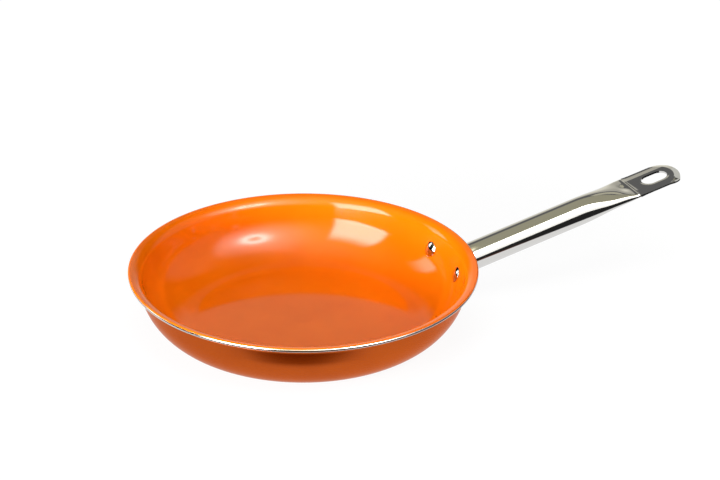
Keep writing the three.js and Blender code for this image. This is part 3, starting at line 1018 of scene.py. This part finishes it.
class FRYINGPAN_OT_studio(bpy.types.Operator):
    """Set up the floor, the soft studio light and the camera"""

    bl_idname = "fryingpan.studio"
    bl_label = "Set Up the Studio"

    def execute(self, context):
        scene = context.scene
        studio = scene.pan_studio
        scene.view_settings.view_transform = "Standard"
        self.light_world(scene, studio)
        self.lay_floor(studio)
        turn = Matrix.Rotation(-studio.turn, 4, "Z")
        self.hang_lamps(scene, turn)
        self.hang_cards(scene)
        self.set_camera(scene, studio, turn)
        return {"FINISHED"}

    def light_world(self, scene, studio):
        """White for the camera, plain soft light for the coats, and a studio to be mirrored in what shines.

        Directions are in degrees: around from the back to the right, and up from the horizon."""
        world = bpy.data.worlds.new("studio_world")
        world.use_nodes = True
        tree = world.node_tree
        tree.nodes.clear()
        path = node(tree, "ShaderNodeLightPath").outputs
        way = turned(tree, node(tree, "ShaderNodeTexCoord").outputs["Generated"], "Z_AXIS", studio.turn)
        parts = parts_of(tree, way)
        around = calc(tree, "DEGREES", calc(tree, "ARCTAN2", parts["X"], parts["Y"]))
        up = calc(tree, "DEGREES", calc(tree, "ARCSINE", parts["Z"]))

        facing = vector_calc(tree, "DOT_PRODUCT", "Value", way, towards(180, 55))
        falloff = calc(tree, "POWER", ease(tree, facing, 0.2, 1.0, kind="LINEAR"), 3)
        ceiling = times(tree, falloff, ease(tree, up, -5, 35, 0, 1.5))

        def panel(window, *slopes):
            lit = between(tree, around, *window)
            for slope in slopes:
                lit = times(tree, lit, ease(tree, up, *slope))
            return lit

        above_edge = calc(tree, "SUBTRACT", up, ease(tree, around, -144, -119, 0, 5, "LINEAR"))
        box = panel((-161, -156, -120.5, -115.5), (58, 34, 0, 11))
        box = times(tree, box, ease(tree, above_edge, 4.6, 5.8))
        strip = panel((-81, -77, -66, -61), (10, 15), (42, 22, 0, 3.2))
        sweep = panel((-28, -14, 6, 26), (31, 27), (10, 26, 0.8, 0.46))
        wall = panel((-32, -18, 12, 24), (26, 29, 0, 0.13))
        side = panel((45, 60, 110, 125), (-5, 10), (60, 40, 0, 0.35))
        glow = wall
        for part in (box, strip, self.umbrella(tree, around, up), side):
            glow = calc(tree, "ADD", glow, part)

        once = ease(tree, path["Ray Depth"], 2, 3, 1.0, 0.2, "LINEAR")
        mirrored = sky(tree, WHITE, times(tree, glow, once))
        for tone, part in (((1, 0.97, 0.84), sweep), ((1, 0.93, 0.55), ceiling)):
            shade = sky(tree, tone, times(tree, part, once))
            mirrored = node(tree, "ShaderNodeAddShader", {0: mirrored, 1: shade}).outputs[0]
        shiny = calc(tree, "MAXIMUM", path["Is Glossy Ray"], path["Is Transmission Ray"])
        lit = mix(tree, shiny, sky(tree, WHITE, studio.ambient), mirrored)
        seen = mix(tree, path["Is Camera Ray"], lit, sky(tree, WHITE, 1.0))
        node(tree, "ShaderNodeOutputWorld", {"Surface": seen})
        scene.world = world

    def umbrella(self, tree, around, up):
        """A round umbrella to the front right: its radiance by the degrees from its middle."""
        middle_around, middle_up, width, brightest = 134.5, 42.5, 50, 20
        profile = (
            (0, 5), (3, 8), (6.5, 20), (9, 13), (11, 9), (13.5, 5.5),
            (17, 3.6), (22, 2.4), (28, 1.6), (36, 0.6), (46, 0),
        )
        wrapped = calc(tree, "WRAP", around, 315, -45)
        across = times(tree, calc(tree, "SUBTRACT", wrapped, middle_around), cos(radians(42)))
        above = calc(tree, "SUBTRACT", up, middle_up)
        off = calc(tree, "SQRT", calc(tree, "ADD", times(tree, across, across), times(tree, above, above)))
        bowl = node(tree, "ShaderNodeValToRGB", {"Fac": calc(tree, "DIVIDE", off, width)})
        set_ramp(bowl.color_ramp, [(place / width, [tone / brightest] * 3) for place, tone in profile])
        cut = ease(tree, calc(tree, "ADD", wrapped, up), 126, 140)
        return times(tree, bowl.outputs["Color"], cut, ease(tree, up, 4, 30, 0, 18))

    def lay_floor(self, studio):
        """A white floor with a faint shadow. What shines mirrors a white sheet, and a dark room in front with
        a painted orange glow near the pan.
        """
        material, tree = bare_finish("pale_floor")
        path = node(tree, "ShaderNodeLightPath").outputs
        where = turned(tree, place_on_piece(tree), "Z_AXIS", studio.turn)
        parts = parts_of(tree, where)
        away = vector_calc(tree, "LENGTH", "Value", where)

        sheet_front, slant_from, slant, blur = 138 * MM, 90 * MM, 1.1, 8 * MM
        front = calc(tree, "ADD", parts["Y"], sheet_front)
        beside = calc(tree, "SUBTRACT", parts["X"], slant_from)
        slanted = calc(tree, "SUBTRACT", front, times(tree, beside, slant))
        sheet = ease(tree, calc(tree, "MINIMUM", front, slanted), -blur, blur)
        # In front, the mirrored floor has a painted dim orange glow near the pan, which fades to a dark room
        # further off.
        painted_glow_near_pan, far_off = (0.13, 0.03, 0.004), (0.02, 0.02, 0.02)
        dark = blend_colours(tree, ease(tree, away, 0.20, 0.26), painted_glow_near_pan, far_off, 0, 1)
        room = node(tree, "ShaderNodeEmission", {"Color": dark, "Strength": 1.0}).outputs[0]
        mirrored = mix(tree, sheet, room, glowing(tree, WHITE, 0.85))

        shaded = node(tree, "ShaderNodeBsdfDiffuse", {"Color": (0.86, 0.86, 0.86, 1)}).outputs[0]
        direct = times(tree, path["Is Camera Ray"], ease(tree, away, 0.2, 0.6, 0.88, 1.0))
        seen = mix(tree, direct, shaded, glowing(tree, WHITE, 1.035))
        from_above = mix(tree, path["Is Glossy Ray"], seen, mirrored)
        below = node(tree, "ShaderNodeNewGeometry").outputs["Backfacing"]
        clear = node(tree, "ShaderNodeBsdfTransparent").outputs[0]
        node(tree, "ShaderNodeOutputMaterial", {"Surface": mix(tree, below, from_above, clear)})

        bm = bmesh.new()
        just_below = Matrix.Translation((0, 0, -0.2 * MM))
        bmesh.ops.create_grid(bm, x_segments=1, y_segments=1, size=4.0, matrix=just_below)
        floor = place_mesh(bm, "floor", material)

    def hang_lamps(self, scene, turn):
        """Soft boxes that light the coats; the world holds what is mirrored of them."""
        aim = Vector((0, 0, 30 * MM))
        lamps = (
            ("front_left_box", -133, 7, 1.1, 0.8, 0.3, 50),
            ("front_right_box", 136, 36, 1.1, 0.65, 0.65, 4.3),
            ("top_box", 180, 78, 1.6, 1.2, 1.2, 2.85),
        )
        for name, around, up, away, wide, high, radiance in lamps:
            out = turn @ towards(around, up)
            lamp = bpy.data.lights.new(name, "AREA")
            lamp.shape = "RECTANGLE"
            lamp.size, lamp.size_y = wide, high
            lamp.energy = radiance * pi * wide * high
            held = bpy.data.objects.new(name, lamp)
            held.location = aim + out * away
            held.rotation_mode = "QUATERNION"
            held.rotation_quaternion = out.to_track_quat("Z", "Y")
            held.visible_camera = False
            held.visible_glossy = False
            scene.collection.objects.link(held)

    def hang_cards(self, scene):
        """Gridded cards and a tent round the tip, in the handle's frame, that only mirrored rays see."""
        handle = scene.pan_handle
        matrix = handle_matrix(section_of(scene.pan_shell), handle)
        tip = (handle.length, 0, 0)
        up, behind_tip, behind_ramp = (0, 0, 1), (0.695, 0.574, 0.433), (0.688, 0.509, 0.518)
        in_front = (0.264, -0.956, 0.131)
        olive, pale = (0.36, 0.345, 0.25), (0.63, 0.63, 0.585)
        dim, white = (0.50, 0.48, 0.37), (1.25, 1.24, 1.2)
        cards = (
            ("olive_card", (0.235, 0.008, 0), up, 0.22, 0.30, 0.317, olive, 0.62, 0.72),
            ("pale_card", tip, behind_tip, 0.2, 0.12, 0.12, pale, 0.90, 0.95),
            ("ramp_card", (0.1094, 0.0414, 0), behind_ramp, 0.2, 0.048, 0.11, dim, 0.9628, 0.969),
            ("white_card", (0.105, 0, 0), in_front, 0.25, 0.19, 0.062, white, 0.94, 0.965),
        )
        for name, point, way, away, wide, high, tone, start, stop in cards:
            way = Vector(way).normalized()
            place = Matrix.Translation(Vector(point) + way * away)
            facing = way.to_track_quat("Z", "Y").to_matrix().to_4x4()
            place = matrix @ place @ facing @ Matrix.Diagonal((wide, high, 1, 1))
            bm = bmesh.new()
            bmesh.ops.create_grid(bm, x_segments=1, y_segments=1, size=0.5, matrix=place)
            self.hang_card(bm, name, tone, start, stop)

        tent_middle = Vector((handle.length - 14 * MM, 0, handle.tongue_lift))
        tent_radius = 150 * MM
        bm = bmesh.new()
        bmesh.ops.create_grid(bm, x_segments=40, y_segments=20, size=1)
        for vert in bm.verts:
            vert.co = tent_middle + towards(170 - 70 * vert.co.x, 28 + 36 * vert.co.y) * tent_radius
        bmesh.ops.transform(bm, matrix=matrix, verts=bm.verts)
        self.hang_card(bm, "grey_tent", (0.30, 0.30, 0.28), 0.976, 0.980)

    def hang_card(self, bm, name, tone, start, stop):
        """Hang up a glowing sheet that shows only to mirrored rays that meet it squarely."""
        material, tree = bare_finish(name)
        aslant = node(tree, "ShaderNodeLayerWeight", {"Blend": 0.5}).outputs["Facing"]
        grid = ease(tree, aslant, 1 - start, 1 - stop)
        clear = node(tree, "ShaderNodeBsdfTransparent").outputs[0]
        shown = mix(tree, grid, clear, glowing(tree, tone))
        node(tree, "ShaderNodeOutputMaterial", {"Surface": shown})
        card = place_mesh(bm, name, material)
        card.visible_camera = False
        card.visible_diffuse = False
        card.visible_transmission = False
        card.visible_shadow = False

    def set_camera(self, scene, studio, turn):
        back = Vector((0, -cos(studio.elevation), sin(studio.elevation)))
        right = Vector((1, 0, 0))
        up = back.cross(right)
        right, up = (
            right * cos(studio.roll) + up * sin(studio.roll),
            up * cos(studio.roll) - right * sin(studio.roll),
        )
        place = Vector((studio.aim_along, 0, studio.aim_height)) + back * studio.distance
        look = Matrix((right, up, back)).transposed().to_4x4()
        camera = bpy.data.cameras.new("camera")
        camera.sensor_fit = "HORIZONTAL"
        camera.sensor_width = 36
        camera.lens = studio.lens
        camera.clip_start, camera.clip_end = 0.05, 30
        stand = bpy.data.objects.new("camera", camera)
        stand.matrix_world = turn @ Matrix.Translation(place) @ look
        scene.collection.objects.link(stand)
        scene.camera = stand


class FRYINGPAN_PT_make(bpy.types.Panel):
    """Sizes, colours and steps of the frying pan"""

    bl_idname = "FRYINGPAN_PT_make"
    bl_label = "Frying Pan"
    bl_space_type = "VIEW_3D"
    bl_region_type = "UI"
    bl_category = "Frying Pan"

    def draw(self, context):
        for title, group in SETTINGS.items():
            settings = getattr(context.scene, title)
            box = self.layout.box()
            for name in group.__annotations__:
                box.prop(settings, name)
        for step in STEPS:
            self.layout.operator(step.bl_idname)


SETTINGS = {
    "pan_shell": ShellSizes,
    "pan_handle": HandleSizes,
    "pan_colours": PanColours,
    "pan_studio": StudioSettings,
}
STEPS = (
    FRYINGPAN_OT_sheet,
    FRYINGPAN_OT_coats,
    FRYINGPAN_OT_base,
    FRYINGPAN_OT_rivets,
    FRYINGPAN_OT_saddle,
    FRYINGPAN_OT_handle,
    FRYINGPAN_OT_weld,
    FRYINGPAN_OT_studio,
)


def register():
    for group in SETTINGS.values():
        bpy.utils.register_class(group)
    for title, group in SETTINGS.items():
        setattr(bpy.types.Scene, title, PointerProperty(type=group))
    for step in STEPS:
        bpy.utils.register_class(step)
    bpy.utils.register_class(FRYINGPAN_PT_make)


def unregister():
    bpy.utils.unregister_class(FRYINGPAN_PT_make)
    for step in reversed(STEPS):
        bpy.utils.unregister_class(step)
    for title in SETTINGS:
        delattr(bpy.types.Scene, title)
    for group in reversed(tuple(SETTINGS.values())):
        bpy.utils.unregister_class(group)


def main():
    register()
    bpy.ops.fryingpan.sheet()
    bpy.ops.fryingpan.coats()
    bpy.ops.fryingpan.base()
    bpy.ops.fryingpan.rivets()
    bpy.ops.fryingpan.saddle()
    bpy.ops.fryingpan.handle()
    bpy.ops.fryingpan.weld()
    bpy.ops.fryingpan.studio()


if __name__ == "__main__":
    main()
